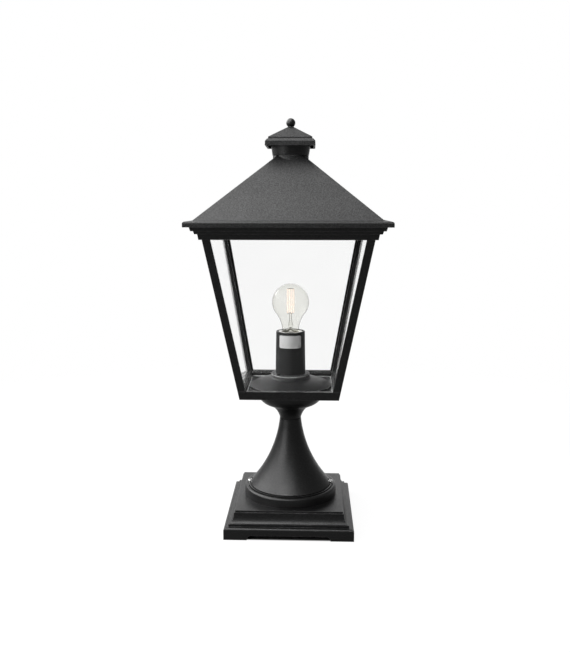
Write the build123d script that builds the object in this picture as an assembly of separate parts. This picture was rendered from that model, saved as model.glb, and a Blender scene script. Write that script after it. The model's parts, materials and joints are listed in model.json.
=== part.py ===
from build123d import *
import math
import os

# A square garden lantern on a flared column and a stepped plinth.
# Millimetres. It stands on z = 0, centred on the z axis, with its front towards -Y.

# Clearances
turning_gap = 0.08        # spigot in the column's neck, on the radius
seat_gap = 0.3            # between pieces that lift off or turn against each other
slip_gap = 0.5            # a piece let into a recess
thread_gap = 0.1          # plain shank in its hole, on the radius

# Plinth
plinth_width = 200.0
plinth_height = 41.0
plinth_wall = 4.0
foot_block_height = 18.5
foot_block_edge = 4.0     # rounding along the block's top edge
foot_length = 36.0        # each corner foot, along the side
arch_height = 7.0
arch_rounding = 6.0
step_inset = 7.2
step_height = 4.2
step_ledge = 2.2
cove_depth = 5.4
cove_sag = 2.1
plinth_lip = 3.0          # upright edge above the cove
plinth_ledge = 2.0        # from the lip out to the cove

# Anchor bracket, terminals and cable
bracket_thickness = 3.0
bracket_width = 56.0
bracket_inset = 2.2       # from the plinth's inner walls
bracket_drop = 4.0        # below the plinth's top plate
anchor_hole_radius = 3.5
anchor_edge = 8.8         # from the foot's end to the hole
anchor_spacing = 36.0     # across the strap
bridge_hole_radius = 13.0
terminal_length = 32.0
terminal_depth = 14.0
terminal_height = 16.0
terminal_lift = 4.0       # above the ground
cable_radius = 3.2
cable_bend = 22.0
grommet_flange = 15.0
grommet_groove = 12.0
grommet_lip = 2.0
grommet_bore = 4.2

# Column
column_height = 125.2
column_wall = 4.0
flange_radius = 74.5
flange_height = 16.5
flange_edge = 12.0        # upright part of the flange's rim
bead_width = 5.2
bead_drop = 1.6           # below the ring
bead_sag = 1.2
groove_width = 0.8
groove_depth = 0.9
skirt_radius = 65.4
skirt_edge = 1.2          # upright edge under the flare
flare_sag = 9.3
neck_radius = 17.2
neck_bore_length = 26.0
gasket_width = 3.0
gasket_height = 2.0
gasket_inset = 1.5
column_screw_radius = 2.5
column_screw_head = 4.0
column_screw_head_height = 2.8
column_screw_circle = 66.0
screw_pocket_radius = 4.6
set_screw_radius = 2.5
set_screw_drop = 13.0     # below the column's top
set_screw_groove = 1.0    # depth of the spigot's groove
swivel_stop = 4.0         # rib left across the groove, opposite the screw

# Bowl and stem
bowl_height = 48.3
bowl_radius = 55.0
bowl_sag = 6.2
bowl_wall = 4.0
bowl_rim_width = 9.0
bowl_rim_height = 4.0
bowl_shoulder = 22.1      # height of the edge between neck and bowl
shoulder_radius = 31.9
bowl_neck_height = 1.9
neck_groove = 1.5         # shadow groove over the column's top
neck_groove_height = 1.2
bowl_neck_sag = 2.3
bowl_floor_height = 29.0
spigot_radius = 12.0
spigot_wall = 2.6
web_height = 7.0
stem_radius = 5.0
stem_bore = 3.8
stem_nut_radius = 8.0     # across corners, on the radius
stem_nut_height = 5.0
stem_spare = 3.0          # thread left beyond a nut

# Cage
cage_height = 243.8
cage_foot_width = 150.8
cage_head_width = 243.7
rail_height = 13.2
rail_depth = 9.0
tray_floor = 4.0
pane_seat = 9.2           # the panes' seat above the tray's underside
tray_hole_radius = 46.0
post_width = 12.0
post_wall = 2.5
post_core = 8.7
pane_thickness = 3.0
seal_width = 3.0
post_screw_radius = 1.5
post_screw_head = 2.6
post_screw_head_height = 2.2
post_screw_bite = 6.5     # thread inside the post
post_screw_edge = 1.0     # metal left outside a lower screw's recess

# Cornice
band_height = 8.0
band_projection = 4.0
fillet_height = 4.4
fillet_projection = 3.5
corona_height = 5.2
corona_projection = 3.3
cornice_draft = 1.5
cornice_ledge = 4.0
well_inset = 1.85         # the well's sides inside the cage's head
ledge_width = 12.0        # the ledge round the opening
roof_seal_width = 4.0
roof_seal_height = 2.0
roof_seal_inset = 5.0

# Roof
eave_projection = 8.2
eave_height = 7.9
eave_rounding = 3.0
roof_ledge = 12.1
roof_ledge_rise = 1.0
roof_pitch = 40.0         # degrees
roof_wall = 3.0
roof_lip_depth = 6.0
roof_lip_wall = 3.0
collar_radius = 27.5
collar_wall = 3.0
hip_tip = 0.8             # hips' tips beyond the collar

# Chimney, cap and finial
chimney_height = 18.7
chimney_step = 0.4
chimney_flare = 2.9
chimney_register = 6.0
chimney_register_wall = 2.2
cap_width = 75.4
cap_rim_height = 6.9
cap_rim_bevel = 2.8
cap_rim_bevel_height = 3.4
cap_rim_draft = 0.3
cap_recess = 5.5
cap_rim_wall = 3.0
cap_plinth_inset = 1.6
cap_plinth_height = 2.9
cap_pitch = 30.0          # degrees
cap_tip_width = 10.0
cap_hollow_radius = 20.0
cap_hollow_height = 5.0
finial_radius = 7.0
finial_flat = 4.7         # radius of the ball's flat foot
finial_turns = 6
rod_pitch = 0.8
rod_radius = 2.5
washer_thickness = 0.8
rod_nut_radius = 4.6
rod_nut_height = 4.0
strap_width = 25.0
strap_thickness = 3.0
strap_screw_radius = 2.0
strap_screw_head = 3.5
strap_screw_head_height = 2.6

# Lamp dome, tube and holder
dome_margin = 1.4         # from the rails to the dome's rim
dome_edge = 4.0           # upright rim at the dome's foot
dome_height = 19.2
dome_sag = 0.9
dome_top_radius = 30.5
dome_cove_width = 4.0     # small cove under the tube's flange
dome_cove_height = 4.8
dome_cove_sag = 1.1
dome_wall = 2.5
dome_foot = 4.0           # solid ring at the dome's foot
tube_height = 71.0
tube_foot_radius = 23.9
tube_top_radius = 22.8
tube_bore = 19.0
tube_flange_radius = 30.0
tube_flange = 3.0
tube_rounding = 1.0
tube_screw_radius = 1.5
tube_screw_head = 2.6
tube_screw_head_height = 1.6
label_height = 20.0
label_drop = 4.5          # below the tube's top
label_angle = 94.0        # degrees round the tube
label_thickness = 0.25
label_rounding = 2.5
holder_height = 52.5
holder_drop = 0.5         # holder's top below the tube's top
holder_floor = 20.0       # from the holder's underside to the contact
holder_thread = 8.0
chamber_radius = 10.0
chamber_height = 7.0
shell_wall = 0.75
shell_height = 26.0
contact_radius = 4.5
contact_height = 3.7

# Lamp
bulb_length = 105.0
bulb_radius = 29.5
bulb_neck_radius = 13.2
bulb_neck_height = 29.0   # above the tip
bulb_wall = 0.8
bulb_cap_height = 26.0    # its rim above the tip
bulb_cap_radius = 13.2
bulb_cap_wall = 0.5
bulb_cap_foot = 6.0       # the threaded shell starts above the tip
tip_radius = 4.6
tip_height = 2.0
stem_flare_height = 8.0
stem_pillar_radius = 3.0
stem_pillar_height = 20.0
filament_radius = 0.8
filament_length = 38.0
filament_circle = 5.0
filament_count = 4
filament_foot = 58.0      # above the tip
wire_radius = 0.45

# Heights worked out from the sizes above
neck_z = plinth_height + column_height
bowl_z = neck_z + seat_gap
cage_z = bowl_z + bowl_height
floor_z = cage_z + tray_floor
seat_z = cage_z + pane_seat
rail_z = cage_z + rail_height
cornice_z = cage_z + cage_height
ledge_z = cornice_z + cornice_ledge
cornice_top = cornice_z + band_height + fillet_height + corona_height
eave_z = cornice_top + seat_gap
dome_z = floor_z + dome_height
tube_z = dome_z + tube_height
holder_z = tube_z - holder_drop - holder_height
contact_z = holder_z + holder_floor
tip_z = contact_z + contact_height + seat_gap
strap_z = ledge_z

# Half widths worked out from the sizes above
cage_lean = (cage_head_width - cage_foot_width) / 2 / cage_height
step_half = plinth_width / 2 - step_inset
cove_half = step_half - step_ledge
plinth_top_half = cove_half - cove_depth - plinth_ledge
cavity_half = plinth_top_half - plinth_wall
block_cavity_half = plinth_width / 2 - plinth_wall
plate_z = plinth_height - plinth_wall
bridge_z = plate_z - bracket_drop - bracket_thickness
band_half = cage_head_width / 2 + band_projection
fillet_half = band_half + cornice_draft + fillet_projection
corona_half = fillet_half + cornice_draft + corona_projection
corona_top_half = corona_half + cornice_draft
well_half = cage_head_width / 2 - well_inset
opening_half = well_half - ledge_width
dome_radius = cage_foot_width / 2 - rail_depth - dome_margin
eave_half = corona_top_half + eave_projection
roof_base_half = eave_half - roof_ledge
roof_base_z = eave_z + eave_height + roof_ledge_rise
roof_rise = math.tan(math.radians(roof_pitch))
roof_top_half = (collar_radius + hip_tip) / math.sqrt(2)
roof_top_z = roof_base_z + (roof_base_half - roof_top_half) * roof_rise
chimney_z = roof_top_z + seat_gap
cap_z = chimney_z + chimney_height - cap_recess
cap_half = cap_width / 2
cap_plinth_half = cap_half - cap_rim_draft - cap_rim_bevel - cap_plinth_inset
cap_plinth_z = cap_z + cap_rim_height + cap_rim_bevel_height
cap_rise = math.tan(math.radians(cap_pitch))
cap_tip_z = cap_plinth_z + cap_plinth_height + (cap_plinth_half - cap_tip_width / 2) * cap_rise
finial_z = cap_tip_z + seat_gap + washer_thickness + seat_gap
finial_travel = finial_turns * rod_pitch
rod_top = finial_z + finial_travel
far = 2 * (eave_half + plinth_width)
upright = (Align.CENTER, Align.CENTER, Align.MIN)


# Shapes that repeat

def rod(radius, bottom, top, x=0.0, y=0.0):
    return Pos(x, y, bottom) * Cylinder(radius, top - bottom, align=upright)


def bowed(start, end, sag):
    # an arc that leaves its chord by sag, to the right of the way from start to end
    dx, dz = end[0] - start[0], end[1] - start[1]
    chord = math.hypot(dx, dz)
    middle = ((start[0] + end[0]) / 2 + sag * dz / chord, (start[1] + end[1]) / 2 - sag * dx / chord)
    return ThreePointArc(start, middle, end)


def turned(*edges):
    # solid of revolution from an outline of radius and height
    return revolve(Plane.XZ * make_face(list(edges)), Axis.Z)


def ring(outer, inner, bottom, top):
    return rod(outer, bottom, top) - rod(inner, bottom, top)


def squared(*edges):
    # square block with mitred corners, from its right half outline
    half = make_face(list(edges))
    bar = extrude(Plane.XZ * (half + mirror(half, Plane.YZ)), far, both=True)
    return bar & Rot(0, 0, 90) * bar


def block(half, bottom, top):
    return Pos(0, 0, bottom) * Box(2 * half, 2 * half, top - bottom, align=upright)


def half_at(z):
    # the cage's outer half width at a height
    return cage_foot_width / 2 + cage_lean * (z - cage_z)


def leaning(inset, bottom, top):
    # square block whose sides lean with the cage, set in from its faces
    return squared(Polyline((0, bottom), (half_at(bottom) - inset, bottom),
                            (half_at(top) - inset, top), (0, top), close=True))


def hexagon(radius, bore, bottom, top):
    return Pos(0, 0, bottom) * extrude(RegularPolygon(radius, 6) - Circle(bore), top - bottom)


def pan_screw(shank, head, head_height, length):
    # pan head above z = 0, shank below it, with a cross recess
    body = rod(shank, -length, 0) + rod(head, 0, head_height)
    body = fillet(body.edges().sort_by(Axis.Z)[-1], head_height * 0.45)
    slot = Box(head, head / 4, head_height, align=upright)
    return body - Pos(0, 0, head_height / 2) * (slot + Rot(0, 0, 90) * slot)


def flare_radius(z, wall):
    # the column's radius at a height, with a wall's thickness taken off inside
    foot, top = (skirt_radius, plinth_height + flange_height + skirt_edge), (neck_radius, neck_z)
    dx, dz = top[0] - foot[0], top[1] - foot[1]
    chord = math.hypot(dx, dz)
    bend = (chord ** 2 / 4 + flare_sag ** 2) / (2 * flare_sag)
    reach = (bend - flare_sag) / chord
    centre_x = (foot[0] + top[0]) / 2 + reach * dz
    centre_z = (foot[1] + top[1]) / 2 - reach * dx
    return centre_x - math.sqrt((bend + wall) ** 2 - (z - centre_z) ** 2)


# Base

def plinth():
    half = plinth_width / 2
    step_z = foot_block_height + step_height
    lip_z = plinth_height - plinth_lip
    body = squared(
        Polyline((0, plinth_height), (0, 0), (half, 0), (half, foot_block_height - foot_block_edge)),
        CenterArc((half - foot_block_edge, foot_block_height - foot_block_edge), foot_block_edge, 0, 90),
        Polyline((half - foot_block_edge, foot_block_height), (step_half, foot_block_height),
                 (step_half, step_z), (cove_half, step_z)),
        bowed((cove_half, step_z), (cove_half - cove_depth, lip_z), -cove_sag),
        Polyline((cove_half - cove_depth, lip_z), (plinth_top_half, lip_z), (plinth_top_half, plinth_height),
                 (0, plinth_height)))
    body -= block(cavity_half, 0, plate_z)
    body -= block(block_cavity_half, 0, foot_block_height - plinth_wall)
    arch = Rectangle(plinth_width - 2 * foot_length, 2 * arch_height)
    arch = extrude(Plane.XZ * fillet(arch.vertices(), arch_rounding), far, both=True)
    body -= arch + Rot(0, 0, 90) * arch
    body -= rod(grommet_groove, plate_z, plinth_height)
    for side in (-1, 1):
        body -= rod(column_screw_radius + thread_gap, plate_z, plinth_height, side * column_screw_circle)
    return body


def anchor_bracket():
    leg = cavity_half - bracket_inset
    foot = block_cavity_half - bracket_inset
    t = bracket_thickness
    side = Polyline((0, bridge_z), (leg - t, bridge_z), (leg - t, 0), (foot, 0), (foot, t), (leg, t),
                    (leg, bridge_z + t), (0, bridge_z + t), close=True)
    half = make_face(side)
    body = extrude(Plane.XZ * (half + mirror(half, Plane.YZ)), bracket_width / 2, both=True)
    body -= rod(bridge_hole_radius, bridge_z, bridge_z + t)
    for x in (-1, 1):
        body -= rod(column_screw_radius + thread_gap, bridge_z, bridge_z + t, x * column_screw_circle)
        for y in (-1, 1):
            body -= rod(anchor_hole_radius, 0, t, x * (foot - anchor_edge), y * anchor_spacing / 2)
    return body


def terminal_face():
    return bracket_inset + bracket_thickness + terminal_depth - cavity_half


def terminal_block():
    body = Pos(terminal_face() - terminal_depth / 2, 0, terminal_lift) * Box(
        terminal_depth, terminal_length, terminal_height, align=upright)
    top = terminal_lift + terminal_height
    for y in (-0.3, 0, 0.3):
        body -= rod(terminal_depth / 6, top - terminal_height * 0.3, top,
                    terminal_face() - terminal_depth / 2, y * terminal_length)
    return body


def inner_cable():
    level = terminal_lift + terminal_height / 2
    top = holder_z + holder_thread + chamber_height / 2
    route = FilletPolyline((terminal_face(), 0, level), (0, 0, level), (0, 0, top), radius=cable_bend)
    return sweep(Plane(origin=(terminal_face(), 0, level), z_dir=(1, 0, 0)) * Circle(cable_radius), route)


def cable_grommet():
    return (ring(grommet_groove, grommet_bore, plate_z - grommet_lip, plinth_height + grommet_lip)
            + ring(grommet_flange, grommet_bore, plate_z - grommet_lip, plate_z)
            + ring(grommet_flange, grommet_bore, plinth_height, plinth_height + grommet_lip))


def column():
    ring_z = plinth_height + flange_height
    edge_z = plinth_height + flange_edge
    bead_r = flange_radius - bead_width
    bead_z = ring_z - bead_drop
    ring_r = bead_r - groove_width
    inner_r = skirt_radius + groove_width
    skirt_z = ring_z + skirt_edge
    bore_z = neck_z - neck_bore_length
    middle_z = (skirt_z + bore_z) / 2
    body = turned(
        Polyline((0, neck_z), (0, plinth_height), (flange_radius, plinth_height), (flange_radius, edge_z)),
        bowed((flange_radius, edge_z), (bead_r, bead_z), bead_sag),
        Polyline((bead_r, bead_z), (bead_r, bead_z - groove_depth), (ring_r, bead_z - groove_depth),
                 (ring_r, ring_z), (inner_r, ring_z), (inner_r, ring_z - groove_depth),
                 (skirt_radius, ring_z - groove_depth), (skirt_radius, skirt_z)),
        bowed((skirt_radius, skirt_z), (neck_radius, neck_z), -flare_sag),
        Polyline((neck_radius, neck_z), (0, neck_z)))
    low, middle, high = (flare_radius(z, column_wall) for z in (skirt_z, middle_z, bore_z))
    body -= turned(
        Polyline((0, bore_z), (0, plinth_height), (low, plinth_height), (low, skirt_z)),
        ThreePointArc((low, skirt_z), (middle, middle_z), (high, bore_z)),
        Polyline((high, bore_z), (0, bore_z)))
    body -= rod(spigot_radius + turning_gap, bore_z, neck_z)
    gasket_r = flange_radius - gasket_inset
    body -= ring(gasket_r, gasket_r - gasket_width, plinth_height, plinth_height + gasket_height)
    for side in (-1, 1):
        x = side * column_screw_circle
        body -= rod(column_screw_radius + thread_gap, plinth_height, ring_z, x)
        body -= rod(screw_pocket_radius, ring_z, neck_z, x)
    return body - set_screw_hole(thread_gap)


def set_screw_hole(gap):
    tip = spigot_radius - set_screw_groove + seat_gap
    tail = flare_radius(neck_z - set_screw_drop, 0)
    lying = Pos(0, tip, neck_z - set_screw_drop) * Rot(-90, 0, 0)
    return lying * rod(set_screw_radius + gap, 0, tail - tip)


def neck_set_screw():
    tail = flare_radius(neck_z - set_screw_drop, 0)
    key = Pos(0, tail, neck_z - set_screw_drop) * Rot(90, 0, 0) * extrude(
        RegularPolygon(set_screw_radius / 2, 6), set_screw_radius)
    return set_screw_hole(0) - key


def column_gasket():
    outer = flange_radius - gasket_inset
    return ring(outer, outer - gasket_width, plinth_height, plinth_height + gasket_height)


def column_screws():
    ring_z = plinth_height + flange_height
    screw = pan_screw(column_screw_radius, column_screw_head, column_screw_head_height, ring_z - bridge_z)
    return [Pos(side * column_screw_circle, 0, ring_z) * screw for side in (-1, 1)]


# Bowl and stem

def bowl():
    shoulder_z = bowl_z + bowl_shoulder
    neck_top = bowl_z + bowl_neck_height
    inner_z = bowl_z + bowl_floor_height
    rim_z = cage_z - bowl_rim_height
    spigot_z = neck_z - neck_bore_length
    groove_z = neck_z - set_screw_drop
    body = turned(
        Polyline((0, cage_z), (0, spigot_z), (spigot_radius, spigot_z), (spigot_radius, bowl_z),
                 (neck_radius - neck_groove, bowl_z), (neck_radius - neck_groove, bowl_z + neck_groove_height),
                 (neck_radius, bowl_z + neck_groove_height), (neck_radius, neck_top)),
        bowed((neck_radius, neck_top), (shoulder_radius, shoulder_z), -bowl_neck_sag),
        bowed((shoulder_radius, shoulder_z), (bowl_radius, cage_z), bowl_sag),
        Polyline((bowl_radius, cage_z), (0, cage_z)))
    body -= turned(
        Polyline((0, rim_z), (0, inner_z), (shoulder_radius, inner_z)),
        bowed((shoulder_radius, inner_z), (bowl_radius - bowl_wall, rim_z), bowl_sag / 3),
        Polyline((bowl_radius - bowl_wall, rim_z), (0, rim_z)))
    body -= rod(bowl_radius - bowl_rim_width, rim_z, cage_z)
    body -= rod(spigot_radius - spigot_wall, spigot_z, inner_z - web_height)
    body -= rod(stem_radius + thread_gap, inner_z - web_height, inner_z)
    side = set_screw_radius + slip_gap
    groove = ring(spigot_radius, spigot_radius - set_screw_groove, groove_z - side, groove_z + side)
    stop = Pos(0, -spigot_radius, groove_z) * Box(swivel_stop, spigot_radius, 2 * side)
    return body - (groove - stop)


def web_z():
    return bowl_z + bowl_floor_height - web_height


def stem_tube():
    return ring(stem_radius, stem_bore, web_z() - stem_nut_height - stem_spare, holder_z + holder_thread)


def stem_nuts():
    bore = stem_radius + thread_gap
    return [hexagon(stem_nut_radius, bore, web_z() - stem_nut_height, web_z()),
            hexagon(stem_nut_radius, bore, dome_z, dome_z + stem_nut_height)]


# Cage

post_screw_recess = post_screw_head + seat_gap
lower_screw_place = half_at(cage_z) - post_screw_edge - post_screw_recess
upper_screw_place = half_at(cornice_z - post_screw_bite / 2) - (post_wall + post_core) / 2


def floor_tray():
    body = leaning(0, cage_z, rail_z)
    body -= leaning(post_wall, seat_z, rail_z + post_wall)
    body -= leaning(rail_depth, floor_z, seat_z)
    body -= rod(tray_hole_radius, cage_z, floor_z)
    for x in (-lower_screw_place, lower_screw_place):
        for y in (-lower_screw_place, lower_screw_place):
            body -= rod(post_screw_radius + thread_gap, cage_z, seat_z, x, y)
            body -= rod(post_screw_recess, cage_z, cage_z + post_screw_head_height, x, y)
    return body


def corner_post():
    # leaning angle with a solid core for the screws, at the back right corner
    w, t, core = post_width, post_wall, post_core
    angle = make_face(Polyline((0, 0), (-w, 0), (-w, -t), (-t, -t), (-t, -w), (0, -w), close=True))
    heart = make_face(Polyline((-t, -t), (-core, -t), (-core, -core), (-t, -core), close=True))
    body = None
    for face, bottom in ((angle, rail_z), (heart, seat_z)):
        rise = cornice_z - bottom
        lean = Vector(cage_lean * rise, cage_lean * rise, rise)
        start = Pos(half_at(bottom), half_at(bottom), bottom) * face
        piece = extrude(start, lean.length, dir=lean.normalized())
        body = piece if body is None else body + piece
    bore, depth = post_screw_radius + thread_gap, post_screw_bite + slip_gap
    body -= rod(bore, seat_z, seat_z + depth, lower_screw_place, lower_screw_place)
    return body - rod(bore, cornice_z - depth, cornice_z, upper_screw_place, upper_screw_place)


def post_screws(upper):
    length = post_screw_bite + (cornice_ledge if upper else pane_seat - post_screw_head_height)
    screw = pan_screw(post_screw_radius, post_screw_head, post_screw_head_height, length)
    place = Pos(0, 0, ledge_z) if upper else Pos(0, 0, cage_z + post_screw_head_height) * Rot(180, 0, 0)
    at = upper_screw_place if upper else lower_screw_place
    return [Pos(x, y, 0) * place * screw for x in (-at, at) for y in (-at, at)]


def side_slice(margin, bottom, top):
    # the front side's share of the cage, its ends set in from the corners
    low, high = half_at(bottom) - margin, half_at(top) - margin
    face = make_face(Polyline((-low, bottom), (low, bottom), (high, top), (-high, top), close=True))
    return extrude(Plane.XZ * face, far)


def glass_pane():
    bottom, top = seat_z, cornice_z - slip_gap
    plate = leaning(post_wall, bottom, top) - leaning(post_wall + pane_thickness, bottom, top)
    return plate & side_slice(post_core + seat_gap, bottom, top)


def pane_seals():
    inner = post_wall + pane_thickness + seal_width
    strip = leaning(post_wall + pane_thickness, seat_z, rail_z) - leaning(inner, seat_z, rail_z)
    strip &= side_slice(max(inner, post_core) + seat_gap, seat_z, rail_z)
    return [Rot(0, 0, 90 * side) * strip for side in range(4)]


def seal_half():
    return corona_top_half - roof_seal_inset


def cornice():
    fillet_z = cornice_z + band_height
    corona_z = fillet_z + fillet_height
    draft = cornice_draft
    body = squared(Polyline(
        (0, cornice_z), (band_half, cornice_z), (band_half + draft, fillet_z), (fillet_half, fillet_z),
        (fillet_half + draft, corona_z), (corona_half, corona_z), (corona_top_half, cornice_top),
        (0, cornice_top), close=True))
    body -= block(opening_half, cornice_z, ledge_z)
    body -= block(well_half, ledge_z, cornice_top)
    body -= roof_seal()
    for x in (-1, 1):
        body -= rod(strap_screw_radius + thread_gap, cornice_z, ledge_z, x * strap_screw_place())
    for x in (-upper_screw_place, upper_screw_place):
        for y in (-upper_screw_place, upper_screw_place):
            body -= rod(post_screw_radius + thread_gap, cornice_z, ledge_z, x, y)
    return body


def roof_seal():
    bottom = cornice_top - roof_seal_height
    inner = seal_half() - roof_seal_width
    return block(seal_half(), bottom, cornice_top) - block(inner, bottom, cornice_top)


# Roof, cap and tie rod

def roof():
    inner_offset = roof_wall / math.sin(math.radians(roof_pitch))
    lip_half = well_half - slip_gap
    hollow_half = lip_half - roof_lip_wall
    lip_z = eave_z - roof_lip_depth
    edge_z = eave_z + eave_height - eave_rounding
    collar_bore = collar_radius - collar_wall

    def inner_height(half):
        return roof_base_z + (roof_base_half - inner_offset - half) * roof_rise

    body = squared(
        Polyline((0, roof_top_z), (0, eave_z), (eave_half, eave_z), (eave_half, edge_z)),
        CenterArc((eave_half - eave_rounding, edge_z), eave_rounding, 0, 90),
        Polyline((eave_half - eave_rounding, edge_z + eave_rounding), (roof_base_half, roof_base_z),
                 (roof_top_half, roof_top_z), (0, roof_top_z)))
    body += block(lip_half, lip_z, eave_z)
    body += rod(collar_radius, eave_z, roof_top_z)
    small = collar_bore / 2
    body -= squared(Polyline((0, lip_z), (hollow_half, lip_z), (hollow_half, inner_height(hollow_half)),
                             (small, inner_height(small)), (0, inner_height(small)), close=True))
    return body - rod(collar_bore, inner_height(collar_radius), roof_top_z)


def chimney():
    foot = collar_radius + chimney_step
    bore = collar_radius - collar_wall
    register = bore - seat_gap
    inner = register - chimney_register_wall
    bottom, top = chimney_z - chimney_register, chimney_z + chimney_height
    return turned(Polyline((inner, bottom), (register, bottom), (register, chimney_z), (foot, chimney_z),
                           (foot + chimney_flare, top), (inner, top), close=True))


def cap():
    rim_top = cap_z + cap_rim_height
    slope_z = cap_plinth_z + cap_plinth_height
    seat = cap_z + cap_recess
    body = squared(Polyline(
        (0, cap_z), (cap_half, cap_z), (cap_half - cap_rim_draft, rim_top),
        (cap_half - cap_rim_draft - cap_rim_bevel, cap_plinth_z), (cap_plinth_half, cap_plinth_z),
        (cap_plinth_half, slope_z), (cap_tip_width / 2, cap_tip_z), (0, cap_tip_z), close=True))
    body -= block(cap_half - cap_rim_wall, cap_z, seat)
    body -= turned(Polyline(
        (0, seat), (cap_hollow_radius, seat), (cap_hollow_radius, seat + cap_hollow_height),
        (rod_radius, seat + cap_hollow_height + (cap_hollow_radius - rod_radius) * cap_rise),
        (0, seat + cap_hollow_height + (cap_hollow_radius - rod_radius) * cap_rise), close=True))
    return body - rod(rod_radius + seat_gap, seat, cap_tip_z)


def finial_washer():
    bottom = cap_tip_z + seat_gap
    return ring(finial_flat, rod_radius + seat_gap, bottom, bottom + washer_thickness)


def finial():
    centre = finial_z + math.sqrt(finial_radius ** 2 - finial_flat ** 2)
    ball = Pos(0, 0, centre) * Sphere(finial_radius)
    ball &= block(finial_radius + slip_gap, finial_z, centre + finial_radius)
    return ball - rod(rod_radius + seat_gap, finial_z, rod_top + seat_gap)


def strap_screw_place():
    return (opening_half + well_half) / 2


def bridge_strap():
    length = 2 * (well_half - slip_gap)
    body = Pos(0, 0, strap_z) * Box(length, strap_width, strap_thickness, align=upright)
    body -= rod(rod_radius + thread_gap, strap_z, strap_z + strap_thickness)
    for side in (-1, 1):
        body -= rod(strap_screw_radius + thread_gap, strap_z, strap_z + strap_thickness,
                    side * strap_screw_place())
    return body


def strap_screws():
    screw = pan_screw(strap_screw_radius, strap_screw_head, strap_screw_head_height,
                      strap_thickness + cornice_ledge)
    return [Pos(side * strap_screw_place(), 0, strap_z + strap_thickness) * screw for side in (-1, 1)]


def tie_rod():
    return rod(rod_radius, strap_z - rod_nut_height - rod_radius / 2, rod_top)


def rod_nuts():
    bore = rod_radius + thread_gap
    top = strap_z + strap_thickness
    return [hexagon(rod_nut_radius, bore, strap_z - rod_nut_height, strap_z),
            hexagon(rod_nut_radius, bore, top, top + rod_nut_height)]


# Lamp dome, tube and holder

def tube_screw_spots():
    return PolarLocations((tube_foot_radius + tube_flange_radius) / 2, 4, start_angle=45)


def lamp_dome():
    inside = dome_z - dome_wall
    rim = (dome_radius, floor_z + dome_edge)
    shoulder = (dome_top_radius + dome_cove_width, dome_z - dome_cove_height)
    body = turned(
        Polyline((0, dome_z), (0, floor_z), (dome_radius, floor_z), rim),
        bowed(rim, shoulder, dome_sag),
        bowed(shoulder, (dome_top_radius, dome_z), -dome_cove_sag),
        Polyline((dome_top_radius, dome_z), (0, dome_z)))
    body -= turned(Polyline(
        (0, inside), (0, floor_z), (dome_radius - dome_foot, floor_z),
        (shoulder[0] - dome_wall / 2, shoulder[1] - dome_wall), (dome_top_radius - dome_wall, inside), close=True))
    body -= rod(stem_radius + thread_gap, inside, dome_z)
    for spot in tube_screw_spots():
        body -= spot * rod(tube_screw_radius + thread_gap, inside - dome_wall, dome_z)
    return body


def holder_tube():
    flange_z = dome_z + tube_flange
    body = turned(Polyline((tube_bore, dome_z), (tube_flange_radius, dome_z),
                           (tube_flange_radius, flange_z), (tube_foot_radius, flange_z),
                           (tube_top_radius, tube_z), (tube_bore, tube_z), close=True))
    body = fillet(body.edges().group_by(Axis.Z)[-1], tube_rounding)
    for spot in tube_screw_spots():
        body -= spot * rod(tube_screw_radius + thread_gap, dome_z, flange_z)
    return body


def holder_tube_screws():
    screw = pan_screw(tube_screw_radius, tube_screw_head, tube_screw_head_height, tube_flange + dome_wall)
    return [spot * Pos(0, 0, dome_z + tube_flange) * screw for spot in tube_screw_spots()]


def tube_radius(z):
    foot = dome_z + tube_flange
    return tube_foot_radius + (tube_top_radius - tube_foot_radius) * (z - foot) / (tube_z - foot)


def rating_label():
    # blank plate bent round the tube's front
    top = tube_z - label_drop
    bottom = top - label_height
    low, high = tube_radius(bottom), tube_radius(top)
    band = turned(Polyline((low, bottom), (low + label_thickness, bottom), (high + label_thickness, top),
                           (high, top), close=True))
    width = 2 * (high + label_thickness) * math.sin(math.radians(label_angle / 2))
    plate = Pos(0, (top + bottom) / 2) * RectangleRounded(width, label_height, label_rounding)
    return band & extrude(Plane.XZ * plate, far)


def lampholder():
    top = tube_z - holder_drop
    thread_z = holder_z + holder_thread
    body = rod(tube_bore - seat_gap, holder_z, top)
    body -= rod(stem_radius + thread_gap, holder_z, thread_z)
    body -= rod(chamber_radius, thread_z, thread_z + chamber_height)
    return body - rod(bulb_cap_radius + slip_gap + shell_wall, contact_z, top)


def screw_shell():
    inner = bulb_cap_radius + slip_gap
    return ring(inner + shell_wall, inner, contact_z, contact_z + shell_height)


def centre_contact():
    return rod(contact_radius, contact_z, contact_z + contact_height)


# Lamp

def bulb_shape(wall):
    # the glass from its neck up, thinner by a wall's thickness; the neck's bend runs into the globe
    radius = bulb_radius - wall
    centre = tip_z + bulb_length - bulb_radius
    neck = tip_z + bulb_neck_height
    drop = centre - neck
    bend = (bulb_neck_radius ** 2 + drop ** 2 - bulb_radius ** 2) / (2 * (bulb_radius - bulb_neck_radius))
    reach, span = bend + bulb_neck_radius, bend + bulb_radius
    meet = (radius * reach / span, centre - radius * drop / span)
    half_turn = math.pi - math.atan2(drop, reach) / 2
    middle = (reach + (bend + wall) * math.cos(half_turn), neck + (bend + wall) * math.sin(half_turn))
    foot = (bulb_cap_radius - bulb_cap_wall - seat_gap - wall, tip_z + bulb_cap_height - bulb_cap_foot / 2)
    return turned(
        Polyline((0, centre + radius), (0, foot[1]), foot, (foot[0], tip_z + bulb_cap_height),
                 (bulb_neck_radius - wall, neck)),
        ThreePointArc((bulb_neck_radius - wall, neck), middle, meet),
        ThreePointArc(meet, (radius, centre), (0, centre + radius)))


def bulb_glass():
    return bulb_shape(0) - bulb_shape(bulb_wall)


def bulb_cap():
    foot, top = tip_z + bulb_cap_foot, tip_z + bulb_cap_height
    return ring(bulb_cap_radius, bulb_cap_radius - bulb_cap_wall, foot, top)


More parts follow.
